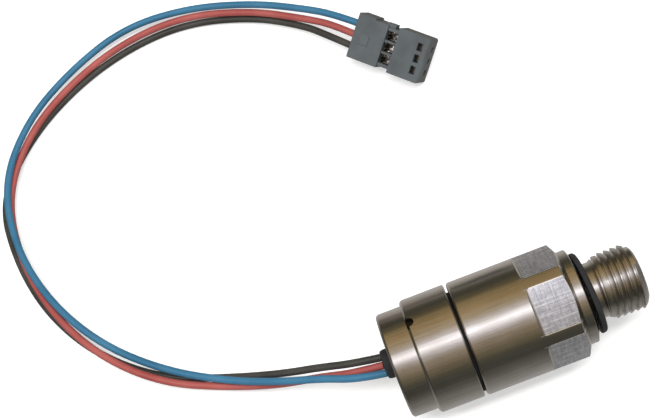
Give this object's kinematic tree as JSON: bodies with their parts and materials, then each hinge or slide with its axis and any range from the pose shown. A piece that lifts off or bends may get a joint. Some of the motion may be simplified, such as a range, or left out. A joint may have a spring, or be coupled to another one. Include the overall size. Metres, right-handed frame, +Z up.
{
  "type": "pressure transmitter",
  "caption": "Small stainless pressure transmitter with a G1/4 stud, wrench flats, a recessed rear ring and loose leads on a crimp connector.",
  "frame": {"origin": "centre of the pressure port's mouth, on the front face of the stud", "axes": "+X out of the pressure port along the body's axis, +Z up as the body lies on its side, +Y to the side where the leads loop round"},
  "size_m": [0.1204, 0.1094, 0.023],
  "materials": {
    "stainless_steel": "turned, with light wear and scratches",
    "black_rubber": "matt",
    "black_plastic": "matt",
    "potting_resin": "semi-matt",
    "circuit_board": "solder resist",
    "ceramic": "fired",
    "gold_pin": "plated",
    "connector_plastic": "moulded, satin",
    "contact_metal": "tin and gold plated strip",
    "blue_insulation": "satin",
    "red_insulation": "satin",
    "black_insulation": "satin"
  },
  "bodies": {
    "root": {"main_housing": "stainless_steel", "port_seal_ring": "black_rubber", "groove_ring": "black_rubber", "clamp_ring": "stainless_steel", "rear_cap": "stainless_steel", "cable_grommet": "black_rubber", "potting_disc": "potting_resin", "cell_header": "stainless_steel", "cell_diaphragm": "stainless_steel", "cell_seal": "black_rubber", "sensor_chip": "ceramic", "header_pins": "gold_pin", "cell_lock_ring": "stainless_steel", "insulating_sleeve": "black_plastic", "pin_board": "circuit_board", "circuit_board": "circuit_board", "amplifier_chip": "black_plastic", "board_capacitors": "ceramic", "suppressor_diodes": "black_plastic", "board_leads": "black_insulation", "connector_housing": "connector_plastic", "connector_cover": "connector_plastic", "plug_leads": "black_insulation", "contact_1": "contact_metal", "contact_2": "contact_metal", "contact_3": "contact_metal", "wire_blue": "blue_insulation", "wire_red": "red_insulation", "wire_black": "black_insulation"}
  },
  "joints": []
}
